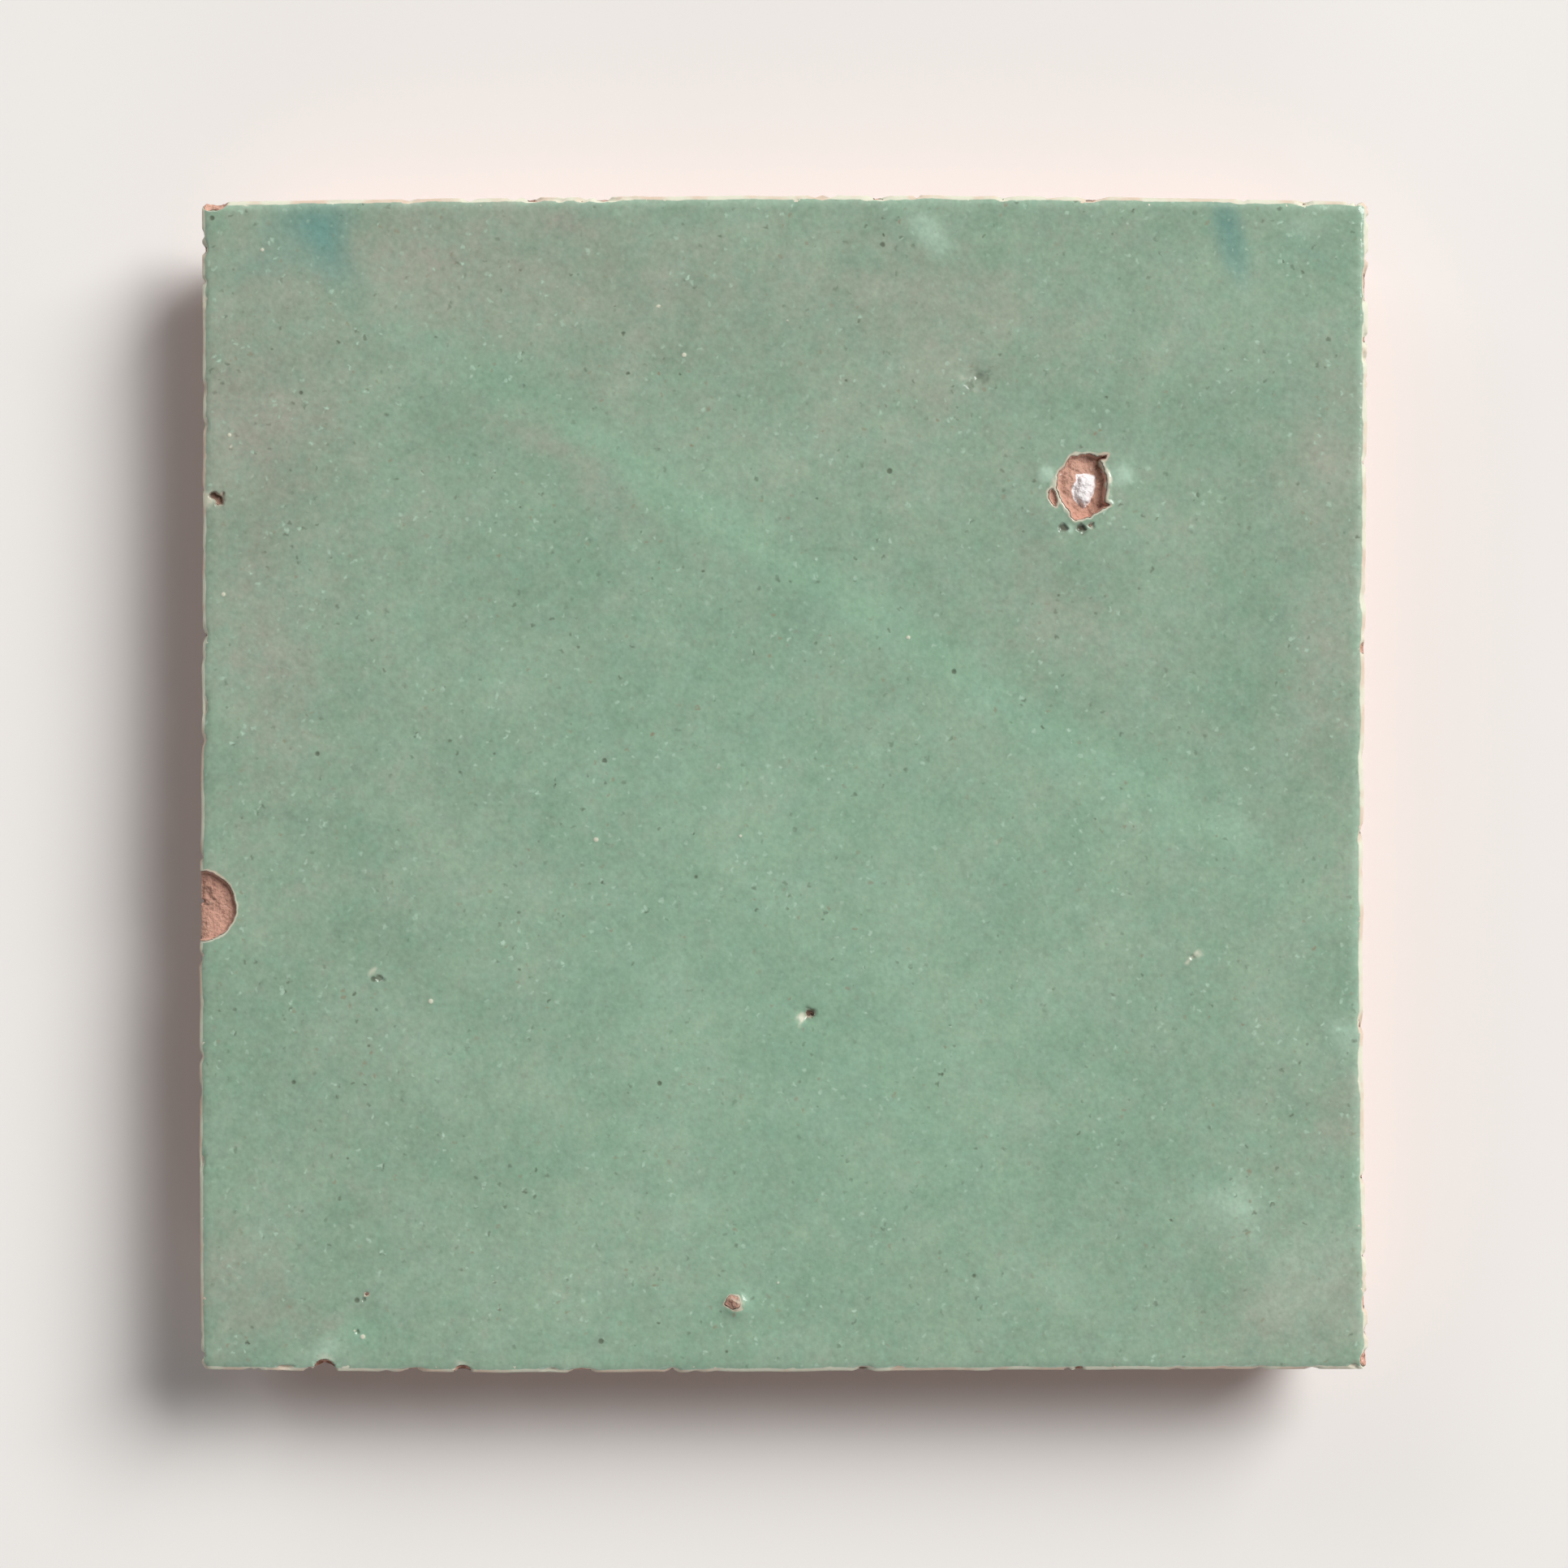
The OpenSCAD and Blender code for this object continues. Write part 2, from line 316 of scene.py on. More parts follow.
def face_place(s, t):
    """Place on the face at the distances s from the left side and t from the front."""
    x = s - HALF + (s / SIDE) * stand_out(1, t) - (1 - s / SIDE) * stand_out(3, t)
    y = t - HALF + (t / SIDE) * stand_out(2, s) - (1 - t / SIDE) * stand_out(0, s)
    return x, y


def glaze_level(x, y):
    """Height of the glaze away from the arris: long swells and short ripples."""
    swells = 0.6 * wave((x + 0.35 * y) / SWELL_LEN + 1 / 9)
    swells += 0.4 * wave((y - 0.4 * x) / (1.3 * SWELL_LEN) + 5 / 18)
    ripples = wave((x + 0.5 * y) / RIPPLE_LEN) * wave((y - 0.3 * x) / (1.4 * RIPPLE_LEN) + 0.25)
    return THICKNESS + SWELL * swells + RIPPLE * ripples


def rounding(s, t):
    """How far the glaze has fallen away at the sides, by both of them at a corner."""
    return ARRIS_DROP * sum((1 - min(d / ARRIS_BAND, 1)) ** 3 for d in (s, SIDE - s, t, SIDE - t))


def arris_point(k, s):
    """Point on the arris of side k, at a distance s along it."""
    s = min(max(s, 0.0), SIDE)
    at = ((s, 0.0), (SIDE, s), (s, SIDE), (0.0, s))[k]
    x, y = face_place(*at)
    return x, y, glaze_level(x, y) - ARRIS_DROP


rim = [arris_point(k, SIDE * i / 400) for k in range(4) for i in range(401)]
RIM_MID_X = (min(p[0] for p in rim) + max(p[0] for p in rim)) / 2
RIM_MID_Y = (min(p[1] for p in rim) + max(p[1] for p in rim)) / 2


def shrink(w):
    """Size of the tile a share w of the way down its sides, as a share of its size at the face."""
    return 1 - UNDERCUT * w**1.5 / HALF


def stray(k, c, i, n):
    """Uneven but repeatable number from -0.5 to 0.5, for blow i of course c on side k."""
    v = 43.7 * math.sin(math.radians(127.1 * i + 311.7 * k + 74.7 * c + 91.3 * n))
    return v - math.floor(v) - 0.5


def hammer_scars():
    """Centre and side of each round-bottomed scar."""
    lean = math.atan(UNDERCUT / THICKNESS)
    scars = []
    for k in range(4):
        for c, (share, offset) in enumerate(COURSES):
            for i in range(BLOWS + c):
                s = (i + offset + STRAY_ALONG * stray(k, c, i, 0)) * SIDE / BLOWS
                w = share + STRAY_DOWN * stray(k, c, i, 1)
                depth = SCAR_DEPTH * (1 + BITE_SPREAD * stray(k, c, i, 2))
                x, y, z = arris_point(k, s)
                out = (SCAR_RADIUS - depth) * math.cos(lean)
                down = (SCAR_RADIUS - depth) * math.sin(lean)
                centre = Vector(
                    (x * shrink(w) + OUT[k][0] * out, y * shrink(w) + OUT[k][1] * out, z * (1 - w) - down)
                )
                scars.append((k, centre, SCAR_RADIUS))
    return scars


def arris_nicks():
    """Centre, radius and direction of each flake knocked out of the arris."""
    nicks = []
    for k, s, width, depth in NICKS:
        x, y, z = arris_point(k, s)
        radius = ((width / 2) ** 2 + depth**2) / (2 * depth)
        out = (radius - depth) * math.sqrt(0.5)
        centre = Vector((x + OUT[k][0] * out, y + OUT[k][1] * out, z + out))
        inwards = Vector((-OUT[k][0], -OUT[k][1], -1)).normalized()
        nicks.append((centre, radius, inwards))
    return nicks


def pushed(p, centre, radius, way):
    """How far a point inside a ball has to go along way to reach the ball's surface."""
    d = p - centre
    along = way.dot(d)
    inside = radius * radius - d.length_squared
    return math.sqrt(along * along + inside) - along if inside > 0 else 0.0


def spread(u):
    """Distance along a side for a share u of the grid, with the lines gathered at both ends."""
    if u > 0.5:
        return SIDE - spread(1 - u)
    if u < CLOSE_ROWS:
        return CLOSE_BAND * (u / CLOSE_ROWS) ** 1.5
    return CLOSE_BAND + (SIDE - 2 * CLOSE_BAND) * (u - CLOSE_ROWS) / (1 - 2 * CLOSE_ROWS)


def gridded_block():
    """A square block on its grid: x and y are distances from the left and the front, z the share down."""
    bm = bmesh.new()
    bmesh.ops.create_grid(bm, x_segments=COARSE_CELLS, y_segments=COARSE_CELLS, size=0.5)
    lifted = bmesh.ops.extrude_face_region(bm, geom=bm.faces[:], use_keep_orig=True)
    face = [g for g in lifted["geom"] if isinstance(g, bmesh.types.BMVert)]
    bmesh.ops.translate(bm, vec=(0, 0, 1), verts=face)
    uprights = [e for e in bm.edges if abs(e.verts[0].co.z - e.verts[1].co.z) > 0.5]
    bmesh.ops.subdivide_edges(bm, edges=uprights, cuts=COARSE_ROWS - 1, use_grid_fill=True)
    off_back = [e for e in bm.edges if max(v.co.z for v in e.verts) > 0]
    bmesh.ops.subdivide_edges(bm, edges=off_back, cuts=1, use_grid_fill=True)
    bmesh.ops.recalc_face_normals(bm, faces=bm.faces[:])
    for v in bm.verts:
        v.co = (spread(v.co.x + 0.5), spread(v.co.y + 0.5), (1 - v.co.z) ** 1.4)
    return bm


def cut_finer(bm, spots):
    """Cuts the grid finer round each spot, given as its place, its reach and the number of cuts."""
    for turn in range(max(times for *_, times in spots)):
        near = set()
        open_spots = [(x, y, reach * (1.25 - 0.12 * turn)) for x, y, reach, times in spots if times > turn]
        for f in bm.faces:
            c = f.calc_center_median()
            if c.z * THICKNESS > CUT_BELOW:
                continue
            for x, y, reach in open_spots:
                if abs(c.x - x) < reach and abs(c.y - y) < reach:
                    if (c.x - x) ** 2 + (c.y - y) ** 2 + (c.z * THICKNESS) ** 2 < reach * reach:
                        near.update(f.edges)
                        break
        in_order = [e for e in bm.edges if e in near]
        bmesh.ops.subdivide_edges(bm, edges=in_order, cuts=1, use_grid_fill=True)


def within(outline, x, y):
    """Distance inside a closed outline, or below 0 outside it."""
    nearest = 100.0
    inside = False
    for (ax, ay), (bx, by) in zip(outline, outline[1:] + outline[:1]):
        ex = bx - ax
        ey = by - ay
        share = ((x - ax) * ex + (y - ay) * ey) / (ex * ex + ey * ey)
        share = min(max(share, 0.0), 1.0)
        nearest = min(nearest, math.hypot(x - ax - share * ex, y - ay - share * ey))
        if (ay > y) != (by > y) and x < ax + (y - ay) * ex / ey:
            inside = not inside
    return nearest if inside else -nearest


def crater_at(x, y):
    """The burst crater at a place: drop below the glaze, distance inside its rim, and inside the lime."""
    u = x - CRATER[0]
    v = y - CRATER[1]
    if abs(u) > 4.5 or abs(v) > 4.5:
        return 0.0, -5.0, -5.0
    ragged = 0.3 * lumps(x, y, 3.1, 0.9) + 0.14 * lumps(x, y, 8.7, 0.35)
    inside = within(CRATER_RIM, u, v) + ragged
    lime = within(LIME_GRAIN, u, v) + 0.2 * lumps(x, y, 9, 0.5)
    flake = within(SIDE_FLAKE, u, v) + 0.15 * lumps(x, y, 5, 0.5)
    floor = 0.4 + 0.6 * soft_step(-1.4, 1.2, u - 0.2 * v)
    rough = 0.22 * lumps(x, y, 0, 0.7) + 0.12 * lumps(x, y, 5, 0.28)
    drop = floor * soft_step(0, 0.24, inside) + rough * soft_step(0.05, 0.4, inside)
    if lime > 0:
        rise = math.sqrt(min(lime / 0.6, 1) * (2 - min(lime / 0.6, 1)))
        drop = min(drop, 0.95 - 0.68 * rise + 0.12 * lumps(x, y, 2, 0.4))
    drop += 0.26 * soft_step(0, 0.16, flake)
    lip = 0.03 + 0.1 * max(u / 2.5, 0) * math.exp(-((v / 1.7) ** 2))
    lip *= math.exp(-(((inside + 0.16) / 0.16) ** 2))
    return drop - lip * soft_step(0.04, -0.08, inside), max(inside, flake), lime


def chip_at(x, y):
    """The spalled chip at a place: drop below the glaze and distance inside its rim."""
    u = x - CHIP[0]
    v = y - CHIP[1]
    if abs(u) > 5 or abs(v) > 5:
        return 0.0, -5.0
    inside = CHIP_RADIUS - math.hypot(u, v) + 0.22 * lumps(x, y, 4, 1.4) + 0.1 * lumps(x, y, 6, 0.5)
    wall = CHIP_DEPTH * soft_step(0, 0.2, inside)
    floor = 0.16 * lumps(x, y, 1, 1.3) + 0.08 * lumps(x, y, 3, 0.4)
    bowl = 0.2 * soft_step(0.1, 2.0, inside)
    return wall + (floor + bowl) * soft_step(0.1, 0.5, inside), inside


def pits_at(x, y):
    """The small pits at a place: drop, distance inside bare clay, and darkness as painted shade."""
    drop = 0.0
    bare = -5.0
    dark = 0.0
    for px, py, width, depth, clay, gloom in PITS:
        if abs(x - px) > 3 or abs(y - py) > 3:
            continue
        radius = width / 2
        ragged = lumps(x, y, px, 0.8 * width) + 0.6 * lumps(x, y, py, 0.35 * width)
        away = math.hypot(x - px, y - py) + 0.7 * width * ragged
        drop += depth * soft_step(radius, 0.35 * radius, away)
        bare = max(bare, clay * radius - away if clay > 0 else -5.0)
        dark = max(dark, gloom * soft_step(1.35 * radius, 0.2 * radius, away))
    return drop, bare, dark


def swelling_at(x, y):
    """How far the glaze stands up over the swellings, or down in the dimples."""
    rise = 0.0
    for px, py, radius, height in SWELLINGS:
        away = math.hypot(x - px, y - py) / radius
        if away < 3:
            rise += height * math.exp(-away * away)
    return rise


def spots_at(x, y, places, radius):
    """Distance inside the nearest of the small round spots, or below 0 outside it."""
    best = -0.6
    for n, (px, py) in enumerate(places):
        if abs(x - px) < 0.9 and abs(y - py) < 0.9:
            best = max(best, radius * (1 + 0.35 * wave(n * 0.37)) - math.hypot(x - px, y - py))
    return best


def skin(x, y):
    """Fine unevenness of the fired glaze."""
    return 0.05 * lumps(x, y, 0, 7.0) + 0.035 * lumps(x, y, 4, 3.2) + 0.01 * lumps(x, y, 9, 1.3)


def flakes_at(along, down, k):
    """The small scoops that the chisel left in side k: their depth, and 0 on a ridge up to 1 in a hollow."""
    depth = 0.0
    hollow = 0.0
    for size, drop in FLAKES:
        near = noise.voronoi(Vector((along / size, down / (1.3 * size), 7.3 * k + size)))[0]
        dip = 1 - (1 - min((near[1] - near[0]) / 0.55, 1)) ** 2
        depth += drop * dip
        hollow += dip / len(FLAKES)
    return depth, hollow


def back_at(x, y, edge):
    """Height of the struck-off back, and 0 where it is proud up to 1 where it is scooped out."""
    dragged = lumps(x - 0.12 * y, 0.07 * y, 2, 2.6) + 0.5 * lumps(x + 0.05 * y, 0.05 * y, 8, 1.3)
    dip = 0.35 * soft_step(0.05, 0.45, dragged)
    for px, py, length, width, turn, depth in SCRAPES:
        dip += depth * cloud(x + lumps(x, y, 3, 2.5), y, ((px, py, length, width, turn, 1.0),))
    height = 0.2 * (lumps(x, y, 2, 13) + 0.5) + 0.14 * (lumps(x, y, 4, 2.3) + 0.5) + dip
    height += 0.6 * (1 - soft_step(0, 1.5, edge)) * (0.6 + lumps(x, y, 5, 2.5))
    return height, min(2.2 * dip, 1.0)


def corner_eased(s, t):
    """Distances from the left side and the front, moved in so that the corners are rounded."""
    a = CORNER - min(s, SIDE - s)
    b = CORNER - min(t, SIDE - t)
    if a <= 0 or b <= 0:
        return s, t
    share = max(a, b) / math.hypot(a, b)
    s += math.copysign(a * (1 - share), HALF - s)
    t += math.copysign(b * (1 - share), HALF - t)
    return s, t


def crumbled(x, y, w, edge):
    """How much of the arris has crumbled away at a place, from 0 to 1."""
    if edge >= CRUMB_BAND or w >= 0.1:
        return 0.0
    loose = lumps(x, y, 51, 1.5) + 0.6 * lumps(x, y, 53, 0.6) + cloud(x, y, CRUMBLING)
    return soft_step(0.14, 0.4, loose) * soft_step(CRUMB_BAND, 0.0, edge) * soft_step(0.08, 0.0, w)


def glaze_marks(x, y):
    """The specks, bubbles and clouds of colour at a place on the face."""
    wx = x + 5.0 * lumps(x, y, 31, 11) + 2.2 * lumps(x, y, 33, 3.5)
    wy = y + 5.0 * lumps(x, y, 35, 11) + 2.2 * lumps(x, y, 37, 3.5)
    return {
        "speck": spots_at(x, y, SPECKS, 0.2),
        "bubble": spots_at(x, y, BUBBLES, 0.17),
        "slip": cloud(x + 0.5 * lumps(x, y, 41, 0.6), y + 0.5 * lumps(x, y, 43, 0.6), SLIP_AND_HIGHLIGHTS),
        "teal": cloud(0.7 * x + 0.3 * wx, 0.7 * y + 0.3 * wy, TEAL),
        "beige": cloud(wx, wy, BEIGE),
        "green": cloud(0.6 * x + 0.4 * wx, 0.6 * y + 0.4 * wy, GREEN),
        "pale": cloud(0.85 * x + 0.15 * wx, 0.85 * y + 0.15 * wy, PALE_AND_SHEEN),
    }


def relief(bm):
    """Gives the block its shape, and keeps on each vertex what the glaze and the clay are like there."""
    layer = {name: bm.verts.layers.float.new(name) for name in MARKS}
    scars = hammer_scars()
    nicks = arris_nicks()
    for v in bm.verts:
        s, t, w = v.co
        x, y = face_place(*corner_eased(s, t))
        reaches = (t, SIDE - s, SIDE - t, s)
        edge = min(reaches)
        crumb = crumbled(x, y, w, edge)
        marks = dict.fromkeys(MARKS, 0.0)
        marks["speck"] = marks["bubble"] = -1.0
        marks["hollow"] = 0.4
        drop, bare, lime = 0.0, -5.0, -5.0
        if w < 1:
            crater_drop, bare, lime = crater_at(x, y)
            chip_drop, chip_bare = chip_at(x, y)
            pit_drop, pit_bare, marks["dark"] = pits_at(x, y)
            drop = crater_drop + chip_drop + pit_drop - swelling_at(x, y)
            bare = max(bare, chip_bare, pit_bare)
        if w == 0:
            marks.update(glaze_marks(x, y))
            drop += 0.04 * soft_step(0, 0.15, marks["speck"]) - 0.05 * soft_step(-0.05, 0.12, marks["bubble"])
            drop -= skin(x, y) * soft_step(0.0, 1.0, edge)
        top = glaze_level(x, y) - rounding(s, t) - drop - CRUMB_DEPTH * crumb
        p = Vector((x * shrink(w), y * shrink(w), top * (1 - w)))
        before = p.copy()
        for k in range(4):
            if reaches[k] > SCAR_REACH or (w == 0 and edge > SCAR_REACH):
                continue
            way = Vector((-OUT[k][0], -OUT[k][1], 0))
            if reaches[k] < 0.001 and w > 0:
                scoop, marks["hollow"] = flakes_at((x, y)[k % 2], top * w, k)
                chunk = scoop + 0.2 * (lumps(p.x, p.y, p.z, 3.4) + 0.2) + 0.1 * lumps(p.x, p.y, p.z, 1.0)
                p += way * chunk * soft_step(0.1, 1.3, top * w)
            if reaches[k] < CRUMB_BAND:
                p += way * 0.25 * crumb
            p += way * max((pushed(p, c, r, way) for side, c, r in scars if side == k), default=0.0)
        for centre, radius, inwards in nicks:
            bite = pushed(p, centre, radius, inwards)
            if bite > 0:
                p += inwards * (bite + 0.5 * lumps(p.x, p.y, p.z, 0.55) * soft_step(0, 0.25, bite))
                gone = radius - (before - centre).length
                bare = max(bare, gone - 0.08 + 0.25 * lumps(p.x, p.y, p.z, 0.6))
        if w == 1:
            p.z, marks["hollow"] = back_at(x, y, edge)
            bare = 5.0
        elif w > 0:
            bare = max(bare, top * w - GLAZE_COAT + 0.3 * lumps(p.x, p.y, p.z, 1.5))
        marks["bare"] = max(bare, 0.5 * crumb - 0.4)
        marks["arris"] = min(reach / CREAM_LINE_AND_HIGHLIGHT[k] for k, reach in enumerate(reaches)) if w == 0 else -top * w
        marks["arris"] -= 1.5 * crumb
        marks["lime"] = lime
        for name in MARKS:
            v[layer[name]] = marks[name]
        v.co = (p.x - RIM_MID_X, p.y - RIM_MID_Y, p.z)


def along_sides(spots):
    """Face distances of places given from the middle of the tile."""
    return [(x + HALF, y + HALF, reach, times) for x, y, reach, times in spots]


def make_tile():
    """The whole tile as one closed mesh."""
    bm = gridded_block()
    spots = [(*CRATER, 3.6, 3), (*CHIP, 3.5, 3)]
    spots += [(p[0], p[1], 0.6 * p[2] + 0.25, 3) for p in PITS]
    spots += [(x, y, 1.6 * radius, 1) for x, y, radius, height in SWELLINGS]
    spots += [(x, y, 1.1 * length + 0.3, 2) for x, y, length, *_ in SLIP_AND_HIGHLIGHTS]
    spots += [(x, y, 0.4, 3) for x, y in SPECKS + BUBBLES]
    ends = {0: lambda s: (s, 0), 1: lambda s: (SIDE, s), 2: lambda s: (s, SIDE), 3: lambda s: (0, s)}
    nicks = [(*ends[k](s), 0.6 * width + 0.3, 2) for k, s, width, depth in NICKS]
    spots += [(x, y, length, 1) for x, y, length, *_ in CRUMBLING]
    cut_finer(bm, along_sides(spots) + nicks)
    relief(bm)
    bmesh.ops.scale(bm, vec=(MM, MM, MM), verts=bm.verts[:])
    mesh = bpy.data.meshes.new("glazed_tile")
    bm.to_mesh(mesh)
    bm.free()
    mesh.shade_smooth()
    piece = bpy.data.objects.new("glazed_tile", mesh)
    bpy.context.scene.collection.objects.link(piece)
    return piece


def colour(red, green, blue):
    """A colour given as it looks on a screen, from 0 to 255, as a shader's colour."""
    shares = [c / 255 for c in (red, green, blue)]
    return (*(c / 12.92 if c <= 0.04045 else ((c + 0.055) / 1.055) ** 2.4 for c in shares), 1.0)


class Socket:
    """An output of a shader node. Sums written with it add Math nodes to its material."""

    def __init__(self, recipe, socket):
        self.recipe = recipe
        self.socket = socket

    def sum(self, operation, first, second):
        return self.recipe.node("ShaderNodeMath", {"operation": operation}, {0: first, 1: second})

    def __add__(self, other):
        return self.sum("ADD", self, other)

    def __radd__(self, other):
        return self.sum("ADD", other, self)

    def __sub__(self, other):
        return self.sum("SUBTRACT", self, other)

    def __rsub__(self, other):
        return self.sum("SUBTRACT", other, self)

    def __mul__(self, other):
        return self.sum("MULTIPLY", self, other)

    def __rmul__(self, other):
        return self.sum("MULTIPLY", other, self)


class Recipe:
    """The nodes of one material."""

    def __init__(self, name):
        self.material = bpy.data.materials.new(name)
        self.material.use_nodes = True
        self.tree = self.material.node_tree
        self.tree.nodes.clear()

    def node(self, kind, settings, inputs, output=0):
        """Adds a node, with its settings made first and then its sockets filled or linked."""
        made = self.tree.nodes.new(kind)
        for name, value in settings.items():
            setattr(made, name, value)
        for name, value in inputs.items():
            if isinstance(value, Socket):
                self.tree.links.new(value.socket, made.inputs[name])
            else:
                made.inputs[name].default_value = value
        return Socket(self, made.outputs[output])

    def place(self, stretch=(1, 1, 1), turn=(0, 0, 0)):
        """Place on the object, in millimetres, or in longer steps along a stretched axis."""
        at = self.node("ShaderNodeTexCoord", {}, {}, "Object")
        scale = tuple(1 / (MM * s) for s in stretch)
        return self.node("ShaderNodeMapping", {}, {"Vector": at, "Scale": scale, "Rotation": turn})

    def along(self, axis):
        """Distance along an axis of the object, in millimetres."""
        return self.node("ShaderNodeSeparateXYZ", {}, {"Vector": self.place()}, axis)

    def mark(self, name):
        """What the modelling kept on the mesh under this name."""
        return self.node("ShaderNodeAttribute", {"attribute_name": name}, {}, "Fac")

    def lumps(self, at, size, detail=2.0, roughness=0.5, batch=0.0):
        """Noise from 0 to 1 with lumps of a size in millimetres. Each batch has lumps of its own."""
        inputs = {"Vector": at, "W": batch, "Scale": 1 / size, "Detail": detail, "Roughness": roughness}
        return self.node("ShaderNodeTexNoise", {"noise_dimensions": "4D"}, inputs, "Fac")

    def step(self, value, low, high):
        """0 at low and 1 at high, eased between them; low may be the greater."""
        inputs = {"Value": value, "From Min": low, "From Max": high}
        return self.node("ShaderNodeMapRange", {"interpolation_type": "SMOOTHSTEP"}, inputs)

    def most(self, first, second):
        """The greater of two values."""
        return self.node("ShaderNodeMath", {"operation": "MAXIMUM"}, {0: first, 1: second})

    def blend(self, share, below, above, kind="MIX"):
        """One colour over another, by a share."""
        settings = {"data_type": "RGBA", "blend_type": kind}
        return self.node("ShaderNodeMix", settings, {0: share, 6: below, 7: above}, 2)

    def finish(self, shader):
        """Closes the material with its shader."""
        out = self.tree.nodes.new("ShaderNodeOutputMaterial")
        self.tree.links.new(shader.socket, out.inputs["Surface"])
        return self.material


SAGE = colour(138, 170, 144)
SAGE_BEIGE = colour(163, 161, 147)
SAGE_BLUE = colour(139, 169, 152)
MINT = colour(176, 203, 182)
TEAL_STAIN = colour(108, 150, 140)
CREAM = colour(216, 213, 192)
SLIP_PINK = colour(212, 188, 168)
TERRACOTTA = colour(198, 150, 131)
TERRACOTTA_DARK = colour(140, 96, 84)
TERRACOTTA_RED = colour(188, 136, 116)
DUST = colour(214, 184, 164)
ASH = colour(158, 132, 118)
LIME_WHITE = colour(240, 233, 232)
IRON = colour(80, 84, 68)
RUST = colour(144, 140, 118)
# Brown of the painted shade in the pits
PIT_SHADE = colour(80, 66, 54)


def glaze_colour(r, at):
    """Sage glaze: beige where it is thin, teal and mint where it has run together, with painted highlights in
    the mint, lighter towards the right and the front, and mottled all over.
    """
    drift = r.lumps(at, 9.0, 5.0, 0.85, 1)
    tone = r.lumps(at, 9.0, 5.0, 0.85, 2)
    tint = r.lumps(at, 3.0, 4.0, 0.8, 3)
    fine = r.lumps(at, 0.46, 1.0, 0.6, 4)
    fleck = r.lumps(at, 1.3, 1.0, 0.5, 16)
    thin = r.mark("beige") * 0.44 - r.mark("green") * 0.28 + (drift - 0.5) * 1.1 + (fleck - 0.5) * 0.34
    beige = r.step(thin, -0.45, 0.85)
    glaze = r.blend(beige, SAGE, SAGE_BEIGE)
    glaze = r.blend(r.step(tint, 0.42, 0.66) * 0.35, glaze, SAGE_BLUE)
    glaze = r.blend(r.step(r.mark("teal") * (drift + 0.5), 0.05, 1.1), glaze, TEAL_STAIN)
    # Mint pools of glaze, and painted highlights on the lit sides of swellings, dimples and the crater's lip
    glaze = r.blend(r.step(r.mark("pale") * (tone + 0.5), 0.1, 1.5) * 0.8, glaze, MINT)
    glaze = r.blend(r.step(r.mark("arris"), 4.0, 1.0) * 0.22, glaze, MINT)
    # Glaze made lighter towards the right and towards the front
    lighter_right_and_front = r.along("X") * 0.0003 - r.along("Y") * 0.0002
    shade = 0.98 + (tone - 0.5) * 0.7 + (fine - 0.5) * 0.38 + r.mark("green") * 0.1 + lighter_right_and_front
    return r.blend(1.0, glaze, shade, "MULTIPLY")


def specked(r, at, glaze):
    """Iron specks and pale bubbles over the glaze: many small ones, and those placed singly."""
    shift = r.node("ShaderNodeTexNoise", {}, {"Vector": at, "Scale": 2.0, "Detail": 1.0}, "Color")
    reach = {0: shift, 1: (0.7, 0.7, 0.7), 2: at}
    bent = r.node("ShaderNodeVectorMath", {"operation": "MULTIPLY_ADD"}, reach)
    crowd = r.step(r.lumps(at, 6.0, 3.0, 0.6, 17), 0.4, 0.62) * 0.85 + 0.4
    for size, strength in ((1.9, 0.9), (0.8, 0.6)):
        cells = {"Vector": bent, "Scale": 1 / size, "Randomness": 1.0}
        near = r.node("ShaderNodeTexVoronoi", {}, cells, "Distance")
        kind = r.node("ShaderNodeTexVoronoi", {}, cells, "Color")
        lot = r.node("ShaderNodeSeparateColor", {}, {"Color": kind}, 0)
        reach = 0.26 / size
        dots = r.step(near, reach, 0.2 * reach) * crowd
        glaze = r.blend(dots * r.step(lot, 0.62, 0.72) * strength, glaze, MINT)
        glaze = r.blend(dots * r.step(lot, 0.22, 0.14) * strength * 0.7, glaze, IRON)
        glaze = r.blend(dots * (r.step(lot, 0.22, 0.3) - r.step(lot, 0.36, 0.44)) * strength, glaze, RUST)
    glaze = r.blend(r.step(r.mark("speck"), -0.06, 0.12) * 0.7, glaze, IRON)
    return r.blend(r.step(r.mark("bubble"), -0.04, 0.08) * 0.9, glaze, CREAM)


def clay_colour(r, at, grit, low):
    """Terracotta, dusty on its ridges and redder and darker in its hollows, with pale and dark grains."""
    patch = r.lumps(at, 6.0, 4.0, 0.65, 5)
    stain = r.lumps(at, 22.0, 4.0, 0.6, 14)
    grains = r.lumps(at, 0.9, 3.0, 0.7, 12)
    clay = r.blend(r.step(patch, 0.3, 0.7), TERRACOTTA_RED, TERRACOTTA)
    clay = r.blend(r.step(r.mark("hollow") + (patch - 0.5) * 1.6, 0.7, 0.0) * 0.4, clay, DUST)
    clay = r.blend(low * r.step(stain + (patch - 0.5) * 0.4, 0.4, 0.62) * 0.5, clay, DUST)
    clay = r.blend(low * r.step(stain + (patch - 0.5) * 0.6, 0.42, 0.28) * 0.55, clay, ASH)
    clay = r.blend(r.step(grit, 0.46, 0.3) * 0.7, clay, TERRACOTTA_DARK)
    clay = r.blend(r.step(grit, 0.6, 0.74) * 0.5, clay, DUST)
    clay = r.blend(r.step(grains, 0.63, 0.7) * 0.35, clay, TERRACOTTA_DARK)
    clay = r.blend(r.step(grains, 0.36, 0.3) * 0.6, clay, LIME_WHITE)
    return r.blend(r.step(r.mark("lime"), -0.14, -0.02), clay, LIME_WHITE)


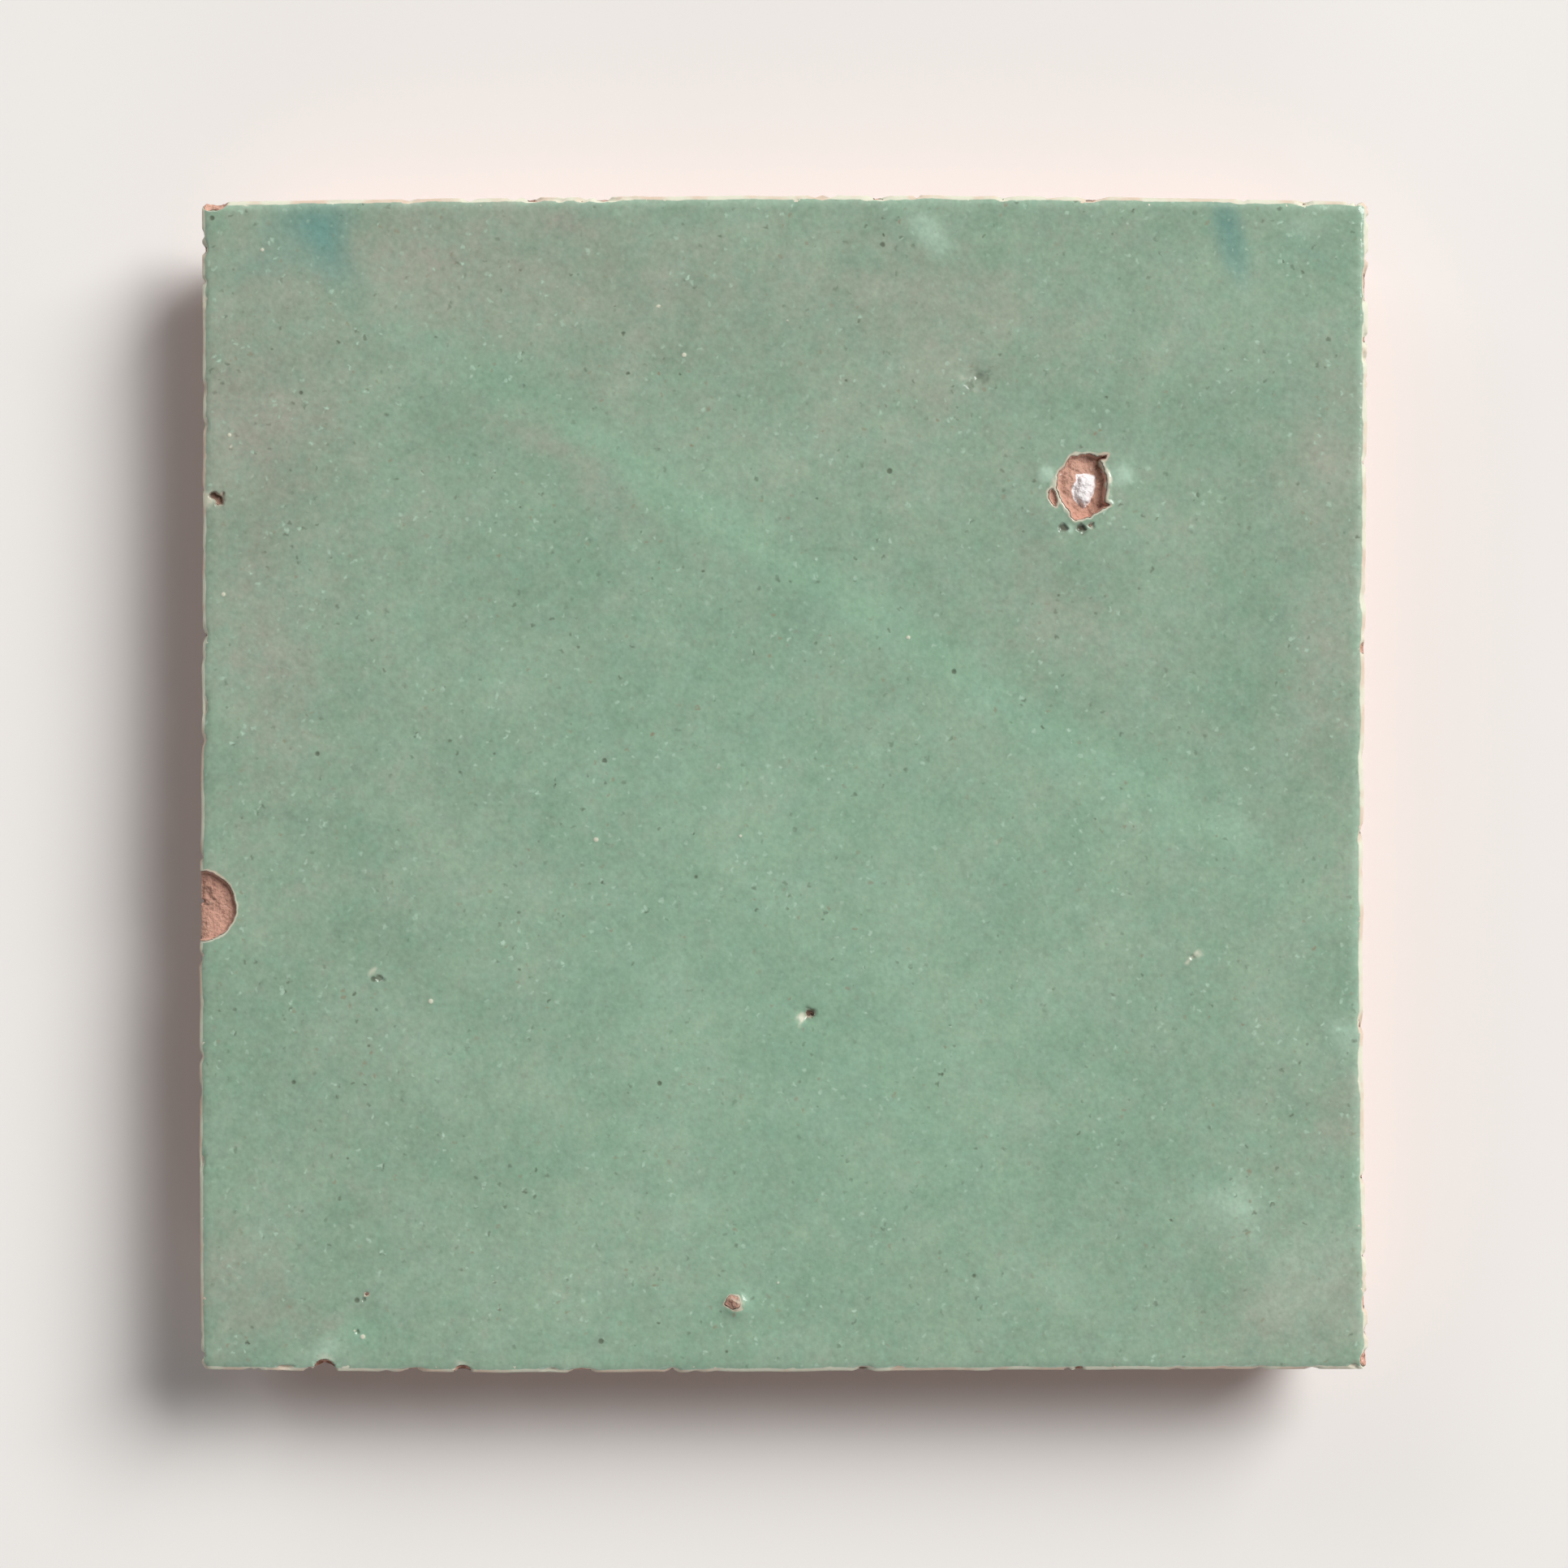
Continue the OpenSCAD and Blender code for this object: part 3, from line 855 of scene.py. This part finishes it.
def glazed_clay():
    """Glaze over its cream slip over bare clay, as the marks on the mesh say."""
    r = Recipe("glazed_clay")
    at = r.place(turn=(0.6, 0.5, 0.7))
    grit = r.lumps(at, 0.5, 3.0, 0.65, 6)
    ragged = r.lumps(at, 0.75, 2.0, 0.6, 7)
    uneven = r.lumps(at, 2.4, 2.0, 0.5, 8)
    surface = specked(r, at, glaze_colour(r, at))

    # The cream slip shows along the arris and round each break, and as painted highlight it shows wider along
    # the right and back arris
    edge = r.mark("arris") + (uneven - 0.5) * 1.1 + (ragged - 0.5) * 0.5 - r.step(ragged, 0.64, 0.74) * 1.2
    worn_and_highlit = r.step(edge, 1.15, 0.85)
    lip = r.step(r.mark("bare") + (ragged - 0.5) * 0.35, -0.22, -0.08) * 0.85
    slip = r.blend(r.step(uneven, 0.42, 0.62), CREAM, SLIP_PINK)
    surface = r.blend(r.most(worn_and_highlit, lip) * 0.92, surface, slip)

    is_clay = r.step(r.mark("bare") + (ragged - 0.5) * 0.25, -0.03, 0.06)
    low = r.step(r.along("Z"), 1.4, 0.6)
    surface = r.blend(is_clay, surface, clay_colour(r, at, grit, low))
    # Slip smudges, and painted highlights on the lit walls of pits and dimples and on the crater's lip
    surface = r.blend(r.step(r.mark("slip") * (ragged + 0.5), 0.15, 0.95) * 0.85, surface, CREAM)
    # Painted shade in and round the pits, and on the shaded sides of dimples and of the blister
    surface = r.blend(r.mark("dark") * 0.9, surface, PIT_SHADE)

    rough = 0.14 + uneven * 0.1 + worn_and_highlit * 0.4
    rough = rough * (1 - is_clay) + is_clay * 0.9
    peel = r.lumps(at, 0.8, 2.0, 0.5, 9) * 0.04 + r.lumps(at, 0.3, 1.0, 0.5, 10) * 0.01
    strokes = r.lumps(r.place((1, 1, 4)), 0.8, 2.0, 0.5, 11)
    broken = r.lumps(at, 1.7, 4.0, 0.7, 13)
    scratches = r.lumps(r.place((1, 7, 1), (0, 0, 0.12)), 0.8, 4.0, 0.65, 15)
    rugged = grit * 0.16 + strokes * 0.14 + broken * 0.5 + low * scratches * 0.45
    height = peel * (1 - is_clay) + is_clay * rugged
    normal = r.node("ShaderNodeBump", {}, {"Height": height, "Distance": MM, "Strength": 1.0})
    shader = r.node(
        "ShaderNodeBsdfPrincipled",
        {},
        {"Base Color": surface, "Roughness": rough, "Normal": normal, "IOR": 1.5},
    )
    return r.finish(shader)


def table_top():
    """Pale matt surface under the tile."""
    r = Recipe("table_top")
    at = r.place()
    tone = r.blend(r.lumps(at, 60.0), colour(236, 232, 228), colour(240, 236, 232))
    shader = r.node("ShaderNodeBsdfPrincipled", {}, {"Base Color": tone, "Roughness": 0.85, "IOR": 1.3})
    return r.finish(shader)


def make_floor():
    bm = bmesh.new()
    bmesh.ops.create_grid(bm, x_segments=2, y_segments=2, size=3.0)
    mesh = bpy.data.meshes.new("floor")
    bm.to_mesh(mesh)
    bm.free()
    floor = bpy.data.objects.new("floor", mesh)
    bpy.context.scene.collection.objects.link(floor)
    mesh.materials.append(table_top())
    return floor


def soft_box(name, place, width, height, glow):
    """A lamp with an even glow, as a share of the light a white floor gives back, that looks at the tile."""
    lamp = bpy.data.lights.new(name, "AREA")
    lamp.shape = "RECTANGLE"
    lamp.size = width
    lamp.size_y = height
    lamp.energy = glow * math.pi * width * height
    obj = bpy.data.objects.new(name, lamp)
    obj.location = place
    obj.rotation_mode = "QUATERNION"
    obj.rotation_quaternion = (-Vector(place)).to_track_quat("-Z", "Y")
    bpy.context.scene.collection.objects.link(obj)


def make_room():
    """Dim even light from overhead, brighter towards the pale walls all round."""
    world = bpy.data.worlds.new("studio")
    world.use_nodes = True
    nodes = world.node_tree.nodes
    links = world.node_tree.links
    way = nodes.new("ShaderNodeTexCoord")
    parts = nodes.new("ShaderNodeSeparateXYZ")
    links.new(way.outputs["Generated"], parts.inputs["Vector"])
    fade = nodes.new("ShaderNodeMapRange")
    fade.interpolation_type = "SMOOTHSTEP"
    for socket, value in (("From Min", 0.05), ("From Max", 0.6), ("To Min", 0.55), ("To Max", 0.08)):
        fade.inputs[socket].default_value = value
    links.new(parts.outputs["Z"], fade.inputs["Value"])
    sky = nodes["Background"]
    sky.inputs["Color"].default_value = (0.95, 0.98, 1.0, 1.0)
    links.new(fade.outputs["Result"], sky.inputs["Strength"])
    bpy.context.scene.world = world
    bpy.context.scene.view_settings.view_transform = "Standard"


def make_camera():
    """Straight above the tile, which fills about three quarters of the picture's width."""
    data = bpy.data.cameras.new("camera")
    data.lens = 100
    data.sensor_width = 36
    picture_width = SIDE * MM / 0.745
    distance = picture_width / 2 / (data.sensor_width / 2 / data.lens)
    data.clip_start = 0.01
    data.clip_end = 20
    camera = bpy.data.objects.new("camera", data)
    camera.location = (0, 0, distance + THICKNESS * MM)
    bpy.context.scene.collection.objects.link(camera)
    bpy.context.scene.camera = camera


tile = make_tile()
tile.data.materials.append(glazed_clay())
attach(tile, "root")
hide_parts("tile")

make_floor()
make_room()
soft_box("key", (3.04, 2.52, 3.44), 3.0, 3.0, 12.45)
soft_box("back_panel", (-0.9, 1.3, 0.85), 1.3, 0.3, 3.4)
soft_box("front_panel", (0.35, -1.6, 0.7), 1.3, 0.3, 2.4)
make_camera()
